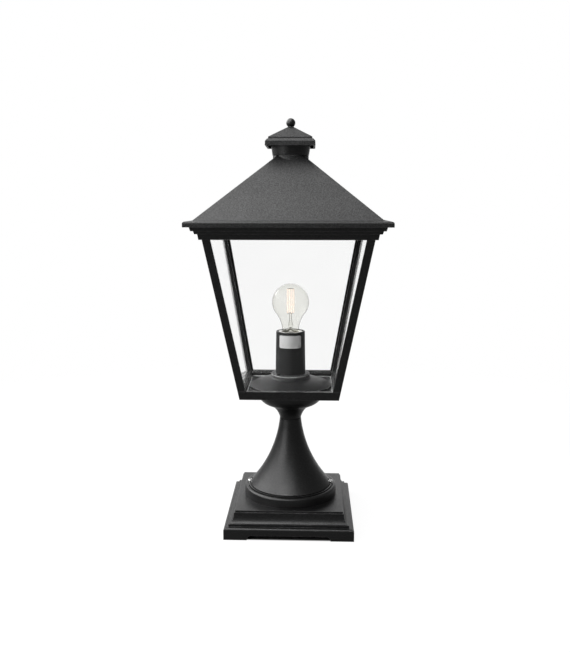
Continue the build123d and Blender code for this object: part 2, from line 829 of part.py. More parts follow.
def bulb_insulator():
    foot, top = tip_z + tip_height, tip_z + bulb_cap_foot
    return turned(Polyline((0, foot), (tip_radius, foot), (bulb_cap_radius - bulb_cap_wall, top),
                           (0, top), close=True))


def bulb_contact():
    top = tip_z + tip_height - thread_gap
    return turned(Polyline((0, tip_z), (tip_radius / 2, tip_z), (tip_radius, tip_z + tip_height / 2),
                           (tip_radius, top), (0, top), close=True))


def bulb_stem():
    foot = tip_z + bulb_cap_foot
    flare_z = tip_z + bulb_cap_height
    flare = bulb_cap_radius - bulb_cap_wall - seat_gap - bulb_wall - seat_gap
    return turned(
        Polyline((0, foot), (stem_pillar_radius, foot), (flare, flare_z - bulb_cap_foot / 2),
                 (flare, flare_z)),
        bowed((flare, flare_z), (stem_pillar_radius, flare_z + stem_flare_height), -bulb_wall),
        Polyline((stem_pillar_radius, flare_z + stem_flare_height),
                 (stem_pillar_radius, flare_z + stem_pillar_height),
                 (0, flare_z + stem_pillar_height), (0, foot)))


def bulb_filaments():
    foot = tip_z + filament_foot
    return [spot * rod(filament_radius, foot, foot + filament_length)
            for spot in PolarLocations(filament_circle, filament_count, start_angle=20)]


def bulb_wires():
    foot = tip_z + filament_foot
    top = foot + filament_length
    outer = filament_circle + filament_radius
    thick = 2 * wire_radius
    bar = Box(2 * filament_circle, thick, thick, align=upright)
    upper = ring(outer, outer - 2 * filament_radius, top, top + thick) + Pos(0, 0, top) * bar
    lower = ring(outer, outer - 2 * filament_radius, foot - thick, foot) + Pos(0, 0, foot - thick) * bar
    return upper + lower + rod(wire_radius, tip_z + bulb_cap_height + stem_pillar_height, top)


# Writing the pieces

def save(name, shape):
    solids = shape if isinstance(shape, list) else [shape]
    export_step(Compound(children=[s for piece in solids for s in piece.solids()]), f"parts/{name}.step")


os.makedirs("parts", exist_ok=True)

single_pieces = (
    plinth, anchor_bracket, terminal_block, inner_cable, cable_grommet, column, column_gasket,
    column_screws, neck_set_screw, bowl, stem_tube, stem_nuts, floor_tray, pane_seals, cornice,
    roof_seal, bridge_strap, strap_screws, tie_rod, rod_nuts, lamp_dome, holder_tube,
    holder_tube_screws, rating_label, lampholder, screw_shell, centre_contact, bulb_glass, bulb_cap,
    bulb_insulator, bulb_contact, bulb_stem, bulb_filaments, bulb_wires, roof, chimney, cap,
    finial_washer, finial)
for make in single_pieces:
    save(make.__name__, make())

for quarter, corner in enumerate(("back_right", "back_left", "front_left", "front_right")):
    save(f"{corner}_post", Rot(0, 0, 90 * quarter) * corner_post())
for quarter, side in enumerate(("front", "right", "back", "left")):
    save(f"{side}_pane", Rot(0, 0, 90 * quarter) * glass_pane())
save("post_screws_lower", post_screws(upper=False))
save("post_screws_upper", post_screws(upper=True))
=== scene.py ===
import bpy
import bmesh
import json
import math
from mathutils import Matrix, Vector


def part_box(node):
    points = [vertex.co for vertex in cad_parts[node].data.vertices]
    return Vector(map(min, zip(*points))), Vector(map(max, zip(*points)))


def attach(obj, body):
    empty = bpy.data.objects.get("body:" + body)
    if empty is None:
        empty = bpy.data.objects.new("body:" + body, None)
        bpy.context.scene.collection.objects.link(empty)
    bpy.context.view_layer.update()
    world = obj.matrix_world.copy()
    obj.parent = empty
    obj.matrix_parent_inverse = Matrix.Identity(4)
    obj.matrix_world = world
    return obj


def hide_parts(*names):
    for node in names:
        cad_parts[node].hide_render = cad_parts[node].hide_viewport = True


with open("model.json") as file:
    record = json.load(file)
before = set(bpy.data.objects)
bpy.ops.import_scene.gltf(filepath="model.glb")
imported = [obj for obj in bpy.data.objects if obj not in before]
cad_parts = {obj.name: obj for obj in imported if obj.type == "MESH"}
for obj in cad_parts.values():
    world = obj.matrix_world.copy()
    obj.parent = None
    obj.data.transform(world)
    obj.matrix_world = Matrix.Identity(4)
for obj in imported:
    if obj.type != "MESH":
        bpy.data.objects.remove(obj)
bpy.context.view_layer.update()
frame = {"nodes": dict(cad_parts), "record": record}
scene = bpy.context.scene
scene.view_settings.view_transform = "Standard"
nodes = frame["nodes"]
mm = 0.001
print("frame loaded:", len(nodes), "pieces")


# node helpers

def put(tree, kind, sockets=None, **settings):
    node = tree.nodes.new(kind)
    for name, value in settings.items():
        setattr(node, name, value)
    for name, value in (sockets or {}).items():
        node.inputs[name].default_value = value
    return node


def wire(tree, source, output, target, socket):
    tree.links.new(source.outputs[output], target.inputs[socket])


def newGroup(name, inputs, outputs):
    group = bpy.data.node_groups.new(name, "ShaderNodeTree")
    for label, value in inputs.items():
        socket = group.interface.new_socket(label, in_out="INPUT", socket_type="NodeSocketFloat")
        socket.default_value = value
    for label in outputs:
        group.interface.new_socket(label, in_out="OUTPUT", socket_type="NodeSocketFloat")
    return group, group.nodes.new("NodeGroupInput"), group.nodes.new("NodeGroupOutput")


# shared effects

def makeCoatGrain():
    # baked powder: fine pimples over a slow drift, and rings where the casting was turned
    group, enter, leave = newGroup("coatGrain", {"Grains": 700.0, "Drift": 9.0, "Rings": 500.0},
                                   ("Fleck", "Cloud", "Height", "Turning"))
    place = put(group, "ShaderNodeTexCoord")
    axes = put(group, "ShaderNodeSeparateXYZ")
    fine = put(group, "ShaderNodeTexNoise", {"Detail": 2.0, "Roughness": 0.6})
    pimple = put(group, "ShaderNodeTexVoronoi", {"Randomness": 1.0}, feature="SMOOTH_F1")
    slow = put(group, "ShaderNodeTexNoise", {"Detail": 3.0, "Roughness": 0.6})
    ring = put(group, "ShaderNodeTexNoise", {"Detail": 3.0, "Roughness": 0.7}, noise_dimensions="1D")
    fleck = put(group, "ShaderNodeMapRange", {"From Min": 0.36, "From Max": 0.66})
    cloud = put(group, "ShaderNodeMapRange", {"From Min": 0.3, "From Max": 0.7})
    turning = put(group, "ShaderNodeMapRange", {"From Min": 0.3, "From Max": 0.7})
    height = put(group, "ShaderNodeMath", {2: 0.5}, operation="MULTIPLY_ADD")
    for texture, size in ((fine, "Grains"), (pimple, "Grains"), (slow, "Drift")):
        wire(group, place, "Object", texture, "Vector")
        wire(group, enter, size, texture, "Scale")
    wire(group, place, "Object", axes, "Vector")
    wire(group, axes, "Z", ring, "W")
    wire(group, enter, "Rings", ring, "Scale")
    for texture, spread, label in ((fine, fleck, "Fleck"), (slow, cloud, "Cloud"),
                                   (ring, turning, "Turning")):
        wire(group, texture, "Fac", spread, "Value")
        wire(group, spread, "Result", leave, label)
    wire(group, pimple, "Distance", height, 0)
    wire(group, fine, "Fac", height, 1)
    wire(group, height, "Value", leave, "Height")
    return group


def makeEdgeRubAndHighlight():
    # where handling has polished the coat along the edges, and a painted highlight where the rounded edges
    # catch the light
    group, enter, leave = newGroup("edgeRubAndHighlight", {"Reach": 0.0012, "Patches": 60.0}, ("RubAndHighlight",))
    place = put(group, "ShaderNodeTexCoord")
    plain = put(group, "ShaderNodeNewGeometry")
    rounded = put(group, "ShaderNodeBevel", samples=4)
    turn = put(group, "ShaderNodeVectorMath", operation="DOT_PRODUCT")
    edge = put(group, "ShaderNodeMapRange", {"From Min": 0.995, "From Max": 0.86})
    patches = put(group, "ShaderNodeTexNoise", {"Detail": 3.0})
    broken = put(group, "ShaderNodeMapRange", {"From Min": 0.35, "From Max": 0.65, "To Min": 0.35})
    rubAndHighlight = put(group, "ShaderNodeMath", operation="MULTIPLY")
    wire(group, enter, "Reach", rounded, "Radius")
    wire(group, plain, "Normal", turn, 0)
    wire(group, rounded, "Normal", turn, 1)
    wire(group, turn, "Value", edge, "Value")
    wire(group, place, "Object", patches, "Vector")
    wire(group, enter, "Patches", patches, "Scale")
    wire(group, patches, "Fac", broken, "Value")
    wire(group, edge, "Result", rubAndHighlight, 0)
    wire(group, broken, "Result", rubAndHighlight, 1)
    wire(group, rubAndHighlight, "Value", leave, "RubAndHighlight")
    return group


def makeHandMarks():
    # faint cloudy marks on glass, plastic and bare metal, with fine drawn lines
    group, enter, leave = newGroup("handMarks", {"Spread": 30.0, "Lines": 400.0}, ("Mark", "Scratch"))
    place = put(group, "ShaderNodeTexCoord")
    blot = put(group, "ShaderNodeTexNoise", {"Detail": 4.0, "Roughness": 0.6, "Distortion": 0.4})
    mark = put(group, "ShaderNodeMapRange", {"From Min": 0.4, "From Max": 0.75})
    stretch = put(group, "ShaderNodeMapping", {"Scale": (0.05, 0.05, 1.0)})
    lines = put(group, "ShaderNodeTexNoise", {"Detail": 2.0})
    wire(group, place, "Object", blot, "Vector")
    wire(group, enter, "Spread", blot, "Scale")
    wire(group, blot, "Fac", mark, "Value")
    wire(group, place, "Object", stretch, "Vector")
    wire(group, stretch, "Vector", lines, "Vector")
    wire(group, enter, "Lines", lines, "Scale")
    wire(group, mark, "Result", leave, "Mark")
    wire(group, lines, "Fac", leave, "Scratch")
    return group


coatGrain = makeCoatGrain()
edgeRubAndHighlight = makeEdgeRubAndHighlight()
handMarks = makeHandMarks()
print("shared effects ready")


# materials

def newMaterial(name, sockets=None):
    material = bpy.data.materials.new(name)
    material.use_nodes = True
    shader = material.node_tree.nodes["Principled BSDF"]
    for label, value in (sockets or {}).items():
        shader.inputs[label].default_value = value
    return material, material.node_tree, shader


def useGroup(tree, group, **sockets):
    return put(tree, "ShaderNodeGroup", sockets, node_tree=group)


def blendColour(tree, shader, mask, output, low, high):
    mix = put(tree, "ShaderNodeMix", {6: (*low, 1.0), 7: (*high, 1.0)}, data_type="RGBA")
    wire(tree, mask, output, mix, 0)
    wire(tree, mix, 2, shader, "Base Color")
    return mix


def blendValue(tree, shader, socket, mask, output, low, high):
    spread = put(tree, "ShaderNodeMapRange", {"To Min": low, "To Max": high})
    wire(tree, mask, output, spread, "Value")
    wire(tree, spread, "Result", shader, socket)


def addBump(tree, shader, source, output, depth, strength):
    bump = put(tree, "ShaderNodeBump", {"Distance": depth, "Strength": strength})
    wire(tree, source, output, bump, "Height")
    wire(tree, bump, "Normal", shader, "Normal")
    return bump


coatLooks = {     # sheen is the fleck's share of gloss, rings the depth of the turning marks; the lighter edge colour is partly wear and partly a painted highlight
    "powderCoat": dict(low=(0.0012, 0.0012, 0.0013), high=(0.005, 0.0051, 0.0053), rubAndHighlight=(0.11, 0.11, 0.112),
                       rough=(0.31, 0.41), specular=0.31, gloss=0.38, sheen=(0.16, 0.60),
                       grains=640.0, depth=0.0002, strength=0.25, rings=0.0),
    "roofCoat": dict(low=(0.002, 0.0021, 0.0022), high=(0.009, 0.0092, 0.0095), rubAndHighlight=(0.11, 0.11, 0.112),
                     rough=(0.46, 0.58), specular=0.29, gloss=0.55, sheen=(0.14, 0.74),
                     grains=600.0, depth=0.0002, strength=0.3, rings=0.0),
    "turnedCoat": dict(low=(0.0012, 0.0012, 0.0013), high=(0.005, 0.0051, 0.0053), rubAndHighlight=(0.04, 0.04, 0.041),
                       rough=(0.33, 0.42), specular=0.34, gloss=0.40, sheen=(0.16, 0.48),
                       grains=800.0, depth=0.0002, strength=0.2, rings=0.5),
    "lampCoat": dict(low=(0.005, 0.0051, 0.0053), high=(0.012, 0.0122, 0.0126), rubAndHighlight=(0.3, 0.3, 0.305),
                     rough=(0.40, 0.50), specular=0.31, gloss=0.46, sheen=(0.14, 0.38),
                     grains=900.0, depth=0.0001, strength=0.2, rings=0.0),
}


def coatMaterial(name):
    look = coatLooks[name]
    material, tree, shader = newMaterial(name, {"Specular IOR Level": look["specular"],
                                                "Coat Roughness": look["gloss"]})
    grain = useGroup(tree, coatGrain, Grains=look["grains"])
    rubAndHighlight = useGroup(tree, edgeRubAndHighlight)
    mix = blendColour(tree, shader, grain, "Fleck", look["low"], look["high"])
    # edges lightened in colour: partly polished wear, partly a painted highlight along the rounded edges
    rubbedAndHighlit = put(tree, "ShaderNodeMix", {7: (*look["rubAndHighlight"], 1.0)}, data_type="RGBA")
    wire(tree, mix, 2, rubbedAndHighlit, 6)
    wire(tree, rubAndHighlight, "RubAndHighlight", rubbedAndHighlit, 0)
    wire(tree, rubbedAndHighlit, 2, shader, "Base Color")
    blendValue(tree, shader, "Roughness", grain, "Cloud", *look["rough"])
    blendValue(tree, shader, "Coat Weight", grain, "Fleck", *look["sheen"])
    bump = addBump(tree, shader, grain, "Height", look["depth"], look["strength"])
    if look["rings"]:
        turned = put(tree, "ShaderNodeBump", {"Distance": look["depth"], "Strength": look["rings"]})
        wire(tree, grain, "Turning", turned, "Height")
        wire(tree, turned, "Normal", bump, "Normal")
    return material


metalLooks = {
    "brightSteel": dict(low=(0.66, 0.66, 0.65), high=(0.86, 0.86, 0.85), rough=(0.14, 0.30)),
    "zincSteel": dict(low=(0.42, 0.43, 0.44), high=(0.60, 0.61, 0.63), rough=(0.30, 0.52)),
    "contactBrass": dict(low=(0.55, 0.40, 0.18), high=(0.78, 0.60, 0.32), rough=(0.25, 0.42)),
    "lampCap": dict(low=(0.50, 0.42, 0.32), high=(0.72, 0.64, 0.52), rough=(0.18, 0.34)),
    "lampWire": dict(low=(0.10, 0.075, 0.05), high=(0.26, 0.20, 0.14), rough=(0.25, 0.40)),
}
metalMarks = dict(spread=90.0, lines=900.0, depth=0.00003, strength=0.35)


def metalMaterial(name):
    look = metalLooks[name]
    material, tree, shader = newMaterial(name, {"Metallic": 1.0})
    marks = useGroup(tree, handMarks, Spread=metalMarks["spread"], Lines=metalMarks["lines"])
    blendColour(tree, shader, marks, "Mark", look["high"], look["low"])
    blendValue(tree, shader, "Roughness", marks, "Scratch", *look["rough"])
    addBump(tree, shader, marks, "Scratch", metalMarks["depth"], metalMarks["strength"])
    return material


solidLooks = {
    "rubber": dict(low=(0.014, 0.014, 0.014), high=(0.026, 0.026, 0.026), rough=(0.6, 0.8), spread=150.0),
    "whitePlastic": dict(low=(0.70, 0.70, 0.67), high=(0.80, 0.80, 0.78), rough=(0.4, 0.55), spread=80.0),
    "porcelain": dict(low=(0.78, 0.77, 0.74), high=(0.86, 0.85, 0.83), rough=(0.06, 0.14), spread=60.0),
    "labelFoil": dict(low=(0.62, 0.62, 0.62), high=(0.70, 0.70, 0.70), rough=(0.34, 0.46), spread=70.0),
    "capInsulator": dict(low=(0.02, 0.02, 0.022), high=(0.04, 0.04, 0.045), rough=(0.15, 0.3), spread=90.0),
}
solidMarks = dict(lines=1200.0, depth=0.00004, strength=0.25)


def solidMaterial(name):
    look = solidLooks[name]
    material, tree, shader = newMaterial(name)
    marks = useGroup(tree, handMarks, Spread=look["spread"], Lines=solidMarks["lines"])
    blendColour(tree, shader, marks, "Mark", look["high"], look["low"])
    blendValue(tree, shader, "Roughness", marks, "Mark", *look["rough"])
    addBump(tree, shader, marks, "Scratch", solidMarks["depth"], solidMarks["strength"])
    return material


# chip and gap colours also drive the emission, whose strength is a painted glow
filamentLook = dict(chip=(1.0, 0.92, 0.86), gap=(1.0, 0.70, 0.52), glow=0.86, rough=0.45, chips=520.0,
                    waver=0.4)


def filamentPaintedGlowMaterial():
    # phosphor stick with its row of chips showing through, and a painted glow: an emission that makes the
    # sticks look bright
    look = filamentLook
    material, tree, shader = newMaterial("filament", {"Roughness": look["rough"],
                                                      "Emission Strength": look["glow"]})
    place = put(tree, "ShaderNodeTexCoord")
    row = put(tree, "ShaderNodeTexWave", {"Scale": look["chips"], "Distortion": look["waver"]},
              bands_direction="Z")
    mix = blendColour(tree, shader, row, "Fac", look["gap"], look["chip"])
    wire(tree, place, "Object", row, "Vector")
    wire(tree, mix, 2, shader, "Emission Color")
    return material


glassLooks = {     # bend is the index of refraction, through the share of light that passes
    "paneGlass": dict(tint=(0.986, 0.987, 0.986), dim=(0.974, 0.975, 0.974), rough=(0.0, 0.02), spread=14.0,
                      bend=1.24),
    "lampGlass": dict(tint=(0.935, 0.935, 0.914), dim=(0.922, 0.922, 0.898), rough=(0.0, 0.02), spread=40.0,
                      bend=1.14),
    "clearSeal": dict(tint=(0.90, 0.905, 0.90), dim=(0.80, 0.81, 0.80), rough=(0.08, 0.3), spread=90.0,
                      bend=1.06, through=0.95),
    "sealBead": dict(tint=(0.93, 0.935, 0.93), dim=(0.86, 0.87, 0.86), rough=(0.2, 0.4), spread=120.0,
                     bend=1.41, through=0.3),
}


def glassMaterial(name):
    look = glassLooks[name]
    material, tree, shader = newMaterial(name, {"IOR": look["bend"],
                                                "Transmission Weight": look.get("through", 1.0)})
    marks = useGroup(tree, handMarks, Spread=look["spread"])
    blendColour(tree, shader, marks, "Mark", look["tint"], look["dim"])
    blendValue(tree, shader, "Roughness", marks, "Mark", *look["rough"])
    light = put(tree, "ShaderNodeLightPath")            # lets lamp light through without noise
    clear = put(tree, "ShaderNodeBsdfTransparent", {"Color": (*look["tint"], 1.0)})
    mix = put(tree, "ShaderNodeMixShader")
    wire(tree, light, "Is Shadow Ray", mix, 0)
    wire(tree, shader, "BSDF", mix, 1)
    wire(tree, clear, "BSDF", mix, 2)
    wire(tree, mix, "Shader", tree.nodes["Material Output"], "Surface")
    return material


materials = {"filament": filamentPaintedGlowMaterial()}
for names, make in ((coatLooks, coatMaterial), (metalLooks, metalMaterial), (solidLooks, solidMaterial),
                    (glassLooks, glassMaterial)):
    for name in names:
        materials[name] = make(name)

slotFinish = {
    "powder_coat": "powderCoat", "lamp_coat": "lampCoat", "pane_glass": "paneGlass",
    "clear_seal": "clearSeal", "rubber": "rubber", "bright_steel": "brightSteel", "zinc_steel": "zincSteel",
    "white_plastic": "whitePlastic", "label_foil": "labelFoil", "porcelain": "porcelain",
    "contact_brass": "contactBrass", "lamp_cap": "lampCap", "cap_insulator": "capInsulator",
    "lamp_glass": "lampGlass", "filament": "filament", "lamp_wire": "lampWire",
}
coatOf = {"column": "turnedCoat", "bowl": "turnedCoat", "roof": "roofCoat", "cap": "roofCoat"}
slotOf = {entry["node"]: entry["material_slot"] for entry in frame["record"]["subparts"]}
bodies = frame["record"]["behaviour"]["bodies"]
bodyOf = {node: body for body, members in bodies.items() for node in members}


def finishOf(node):
    return materials[coatOf.get(node, slotFinish[slotOf[node]])]


for name, part in nodes.items():
    part.data.materials.clear()
    part.data.materials.append(finishOf(name))
print("materials ready:", len(materials))


# mesh helpers

def spanOf(node):
    # a node's lowest and highest corner in mm
    return [Vector(corner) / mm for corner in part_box(node)]


def smoothMesh(mesh, sharp=35.0):
    mesh.polygons.foreach_set("use_smooth", [True] * len(mesh.polygons))
    mesh.set_sharp_from_angle(angle=math.radians(sharp))
    return mesh


def arcPoints(centre, radius, start, end, count):
    # radius and height along an arc, angles in degrees
    turns = (math.radians(start + (end - start) * step / count) for step in range(count + 1))
    return [(centre[0] + radius * math.cos(turn), centre[1] + radius * math.sin(turn)) for turn in turns]


def loftMesh(name, rings, steps=72, closed=False):
    # rings of height, half width and half depth in mm; a ring of no width is a point
    shape = bmesh.new()
    loops = []
    for height, wide, deep in rings:
        count = steps if max(wide, deep) > 1e-4 else 1
        turns = [math.tau * step / steps for step in range(count)]
        loops.append([shape.verts.new((wide * mm * math.cos(turn), deep * mm * math.sin(turn), height * mm))
                      for turn in turns])
    pairs = list(zip(loops, loops[1:])) + ([(loops[-1], loops[0])] if closed else [])
    for lower, upper in pairs:
        for step in range(steps):
            corners = [loop[turn % len(loop)] for loop, turn in
                       ((lower, step), (lower, step + 1), (upper, step + 1), (upper, step))]
            shape.faces.new(list(dict.fromkeys(corners)))
    bmesh.ops.recalc_face_normals(shape, faces=shape.faces)
    mesh = bpy.data.meshes.new(name)
    shape.to_mesh(mesh)
    shape.free()
    return smoothMesh(mesh)


def latheMesh(name, outline, steps=72, closed=False):
    return loftMesh(name, [(height, radius, radius) for radius, height in outline], steps, closed)


def joinMeshes(name, *meshes):
    shape = bmesh.new()
    for mesh in meshes:
        shape.from_mesh(mesh)
    joined = bpy.data.meshes.new(name)
    shape.to_mesh(joined)
    shape.free()
    return smoothMesh(joined)


def meshOf(thing):
    graph = bpy.context.evaluated_depsgraph_get()
    return bpy.data.meshes.new_from_object(thing.evaluated_get(graph))


def scratchObject(name, data):
    thing = bpy.data.objects.new(name, data)
    scene.collection.objects.link(thing)
    return thing


def wireMesh(name, paths, radius):
    curve = bpy.data.curves.new(name, "CURVE")
    curve.dimensions = "3D"
    curve.bevel_depth = radius * mm
    curve.bevel_resolution = 3
    curve.use_fill_caps = True
    for path in paths:
        line = curve.splines.new("NURBS")
        line.points.add(len(path) - 1)
        for point, place in zip(line.points, path):
            point.co = (*(Vector(place) * mm), 1.0)
        line.use_endpoint_u = True
        line.order_u = 3
    holder = scratchObject(name, curve)
    mesh = meshOf(holder)
    bpy.data.objects.remove(holder)
    return smoothMesh(mesh)


def newPiece(name, mesh, node):
    piece = bpy.data.objects.new(name, mesh)
    scene.collection.objects.link(piece)
    mesh.materials.clear()
    mesh.materials.append(finishOf(node))
    return piece


def settle(piece, node):
    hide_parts(node)
    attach(piece, bodyOf[node])


# geometry nodes: what repeats or follows a path

def newTree(name, **inputs):
    tree = bpy.data.node_groups.new(name, "GeometryNodeTree")
    tree.interface.new_socket("Geometry", in_out="OUTPUT", socket_type="NodeSocketGeometry")
    for label, kind in inputs.items():
        tree.interface.new_socket(label, in_out="INPUT", socket_type="NodeSocket" + kind)
    return tree, tree.nodes.new("NodeGroupInput"), tree.nodes.new("NodeGroupOutput")


def endTree(tree, enter, leave, source, output):
    real = put(tree, "GeometryNodeRealizeInstances")
    paint = put(tree, "GeometryNodeSetMaterial")
    wire(tree, source, output, real, "Geometry")
    wire(tree, real, "Geometry", paint, "Geometry")
    wire(tree, enter, "Finish", paint, "Material")
    wire(tree, paint, "Geometry", leave, "Geometry")
    return tree


def makePieceRing():
    # copies of one piece round a circle, each given its own turn
    tree, enter, leave = newTree("pieceRing", Piece="Object", Count="Int", Radius="Float", Turn="Float",
                                 Height="Float", Twist="Float", Finish="Material")
    index = put(tree, "GeometryNodeInputIndex")
    share = put(tree, "ShaderNodeMath", operation="DIVIDE")
    angle = put(tree, "ShaderNodeMath", {1: math.tau}, operation="MULTIPLY_ADD")
    spot = put(tree, "ShaderNodeCombineXYZ")
    points = put(tree, "GeometryNodePoints")
    source = put(tree, "GeometryNodeObjectInfo")
    twist = put(tree, "FunctionNodeRandomValue", {"Seed": 4}, data_type="FLOAT")
    facing = put(tree, "ShaderNodeCombineXYZ")
    copies = put(tree, "GeometryNodeInstanceOnPoints")
    wire(tree, index, "Index", share, 0)
    wire(tree, enter, "Count", share, 1)
    wire(tree, share, "Value", angle, 0)
    wire(tree, enter, "Turn", angle, 2)
    for way, axis in (("COSINE", "X"), ("SINE", "Y")):
        part = put(tree, "ShaderNodeMath", operation=way)
        reach = put(tree, "ShaderNodeMath", operation="MULTIPLY")
        wire(tree, angle, "Value", part, 0)
        wire(tree, part, "Value", reach, 0)
        wire(tree, enter, "Radius", reach, 1)
        wire(tree, reach, "Value", spot, axis)
    wire(tree, enter, "Height", spot, "Z")
    wire(tree, enter, "Count", points, "Count")
    wire(tree, spot, "Vector", points, "Position")
    wire(tree, enter, "Piece", source, "Object")
    wire(tree, enter, "Twist", twist, 3)
    wire(tree, twist, 1, facing, "Z")
    wire(tree, points, "Points", copies, "Points")
    wire(tree, source, "Geometry", copies, "Instance")
    wire(tree, facing, "Vector", copies, "Rotation")
    return endTree(tree, enter, leave, copies, "Instances")


def makeThreadSweep():
    # a round ridge wound up a cylinder
    tree, enter, leave = newTree("threadSweep", Radius="Float", Turns="Float", Rise="Float", Ridge="Float",
                                 Height="Float", Finish="Material")
    coil = put(tree, "GeometryNodeCurveSpiral", {"Resolution": 36})
    lift = put(tree, "ShaderNodeCombineXYZ")
    move = put(tree, "GeometryNodeTransform")
    section = put(tree, "GeometryNodeCurvePrimitiveCircle", {"Resolution": 10})
    sweep = put(tree, "GeometryNodeCurveToMesh", {"Fill Caps": True})
    wire(tree, enter, "Turns", coil, "Rotations")
    wire(tree, enter, "Radius", coil, "Start Radius")
    wire(tree, enter, "Radius", coil, "End Radius")
    wire(tree, enter, "Rise", coil, "Height")
    wire(tree, enter, "Height", lift, "Z")
    wire(tree, coil, "Curve", move, "Geometry")
    wire(tree, lift, "Vector", move, "Translation")
    wire(tree, enter, "Ridge", section, "Radius")
    wire(tree, move, "Geometry", sweep, "Curve")
    wire(tree, section, "Curve", sweep, "Profile Curve")
    return endTree(tree, enter, leave, sweep, "Mesh")


def makeSquareBead():
    # a bead laid round a square with rounded corners
    tree, enter, leave = newTree("squareBead", Side="Float", Corner="Float", Bead="Float", Height="Float",
                                 Finish="Material")
    path = put(tree, "GeometryNodeCurvePrimitiveQuadrilateral")
    corners = put(tree, "GeometryNodeFilletCurve", {"Count": 8}, mode="POLY")
    lift = put(tree, "ShaderNodeCombineXYZ")
    move = put(tree, "GeometryNodeTransform")
    section = put(tree, "GeometryNodeCurvePrimitiveCircle", {"Resolution": 12})
    sweep = put(tree, "GeometryNodeCurveToMesh")
    wire(tree, enter, "Side", path, "Width")
    wire(tree, enter, "Side", path, "Height")
    wire(tree, path, "Curve", corners, "Curve")
    wire(tree, enter, "Corner", corners, "Radius")
    wire(tree, enter, "Height", lift, "Z")
    wire(tree, corners, "Curve", move, "Geometry")
    wire(tree, lift, "Vector", move, "Translation")
    wire(tree, enter, "Bead", section, "Radius")
    wire(tree, move, "Geometry", sweep, "Curve")
    wire(tree, section, "Curve", sweep, "Profile Curve")
    return endTree(tree, enter, leave, sweep, "Mesh")


def growMesh(name, tree, **values):
    seed = scratchObject(name + "Seed", bpy.data.meshes.new(name + "Seed"))
    grow = seed.modifiers.new("grow", "NODES")
    grow.node_group = tree
    for socket in tree.interface.items_tree:
        if socket.in_out == "INPUT":
            grow[socket.identifier] = values[socket.name]
    mesh = meshOf(seed)
    seed.modifiers.remove(grow)
    bpy.data.objects.remove(seed)
    mesh.name = name
    return smoothMesh(mesh)


pieceRing = makePieceRing()
threadSweep = makeThreadSweep()
squareBead = makeSquareBead()
print("node trees ready")


# castings

softEdges = {      # edge radius in mm left by the casting and its coat
    "plinth": 0.45, "column": 0.15, "bowl": 0.2, "floor_tray": 0.5, "cornice": 0.5, "roof": 0.8,
    "cap": 0.6, "chimney": 0.5, "front_left_post": 0.5, "front_right_post": 0.5, "back_left_post": 0.5,
    "back_right_post": 0.5, "lamp_dome": 0.5, "holder_tube": 0.4, "anchor_bracket": 0.4,
    "terminal_block": 0.6, "cable_grommet": 0.6, "stem_nuts": 0.5, "rod_nuts": 0.4, "bridge_strap": 0.4,
}
castEdge = dict(merge=0.002, flat=0.3, sharp=24.0, steps=3)     # mm, then degrees


def softenCasting(node, radius):
    mesh = nodes[node].data.copy()
    shape = bmesh.new()
    shape.from_mesh(mesh)
    bmesh.ops.remove_doubles(shape, verts=shape.verts, dist=castEdge["merge"] * mm)
    bmesh.ops.dissolve_limit(shape, angle_limit=math.radians(castEdge["flat"]), verts=shape.verts,
                             edges=shape.edges)
    for face in shape.faces:
        face.smooth = True
    shape.to_mesh(mesh)
    shape.free()
    piece = newPiece(node + "Cast", mesh, node)
    bevel = piece.modifiers.new("softEdge", "BEVEL")
    bevel.width = radius * mm
    bevel.segments = castEdge["steps"]
    bevel.limit_method = "ANGLE"
    bevel.angle_limit = math.radians(castEdge["sharp"])
    bevel.use_clamp_overlap = True
    level = piece.modifiers.new("flatFaces", "WEIGHTED_NORMAL")
    level.mode = "FACE_AREA"
    level.weight = 100
    level.keep_sharp = True
    settle(piece, node)


for node, radius in softEdges.items():
    softenCasting(node, radius)
print("castings softened:", len(softEdges))


# screws

# shares of the head's radius and height
screwHead = dict(bend=0.62, width=0.3, length=1.2, depth=0.55, over=1.2, taper=0.6)


def panScrew(name, shank, head, height, length, upsideDown=False):
    # pan head on z = 0 with a cross recess
    bend = screwHead["bend"] * height
    upper, lower = (1.0, screwHead["over"]), (screwHead["taper"], 1.0 - screwHead["depth"])
    outline = [(0.0, height), *arcPoints((head - bend, height - bend), bend, 90, 0, 8), (head, 0.0),
               (shank, 0.0), (shank, -length), (0.0, -length)]
    screw = scratchObject(name, latheMesh(name, outline, 40))
    shape = bmesh.new()
    for turned in (False, True):
        bar = bmesh.ops.create_cube(shape, size=1.0)
        for vert in bar["verts"]:
            taper, level = upper if vert.co.z > 0 else lower
            along = vert.co.x * screwHead["length"] * head * taper
            across = vert.co.y * screwHead["width"] * head * taper
            x, y = (-across, along) if turned else (along, across)
            vert.co = Vector((x, y, level * height)) * mm
    cutter = scratchObject(name + "Cross", bpy.data.meshes.new(name + "Cross"))
    shape.to_mesh(cutter.data)
    shape.free()
    cut = screw.modifiers.new("cross", "BOOLEAN")
    cut.operation, cut.object, cut.solver, cut.use_self = "DIFFERENCE", cutter, "EXACT", True
    mesh = meshOf(screw)
    if upsideDown:
        for vert in mesh.vertices:
            vert.co.y, vert.co.z = -vert.co.y, -vert.co.z
    for thing in (screw, cutter):
        bpy.data.objects.remove(thing)
    return smoothMesh(mesh)


screwSets = {      # sizes in mm, the first screw's turn round the lantern in degrees
    "column_screws": dict(shank=2.5, head=4.0, height=2.8, length=26.0, count=2, turn=0.0),
    "holder_tube_screws": dict(shank=1.5, head=2.6, height=1.6, length=5.4, count=4, turn=45.0),
    "post_screws_upper": dict(shank=1.5, head=2.6, height=2.2, length=10.4, count=4, turn=45.0),
    "strap_screws": dict(shank=2.0, head=3.5, height=2.6, length=6.9, count=2, turn=0.0),
    "post_screws_lower": dict(shank=1.5, head=2.6, height=2.2, length=13.0, count=4, turn=45.0,
                              upsideDown=True),
}


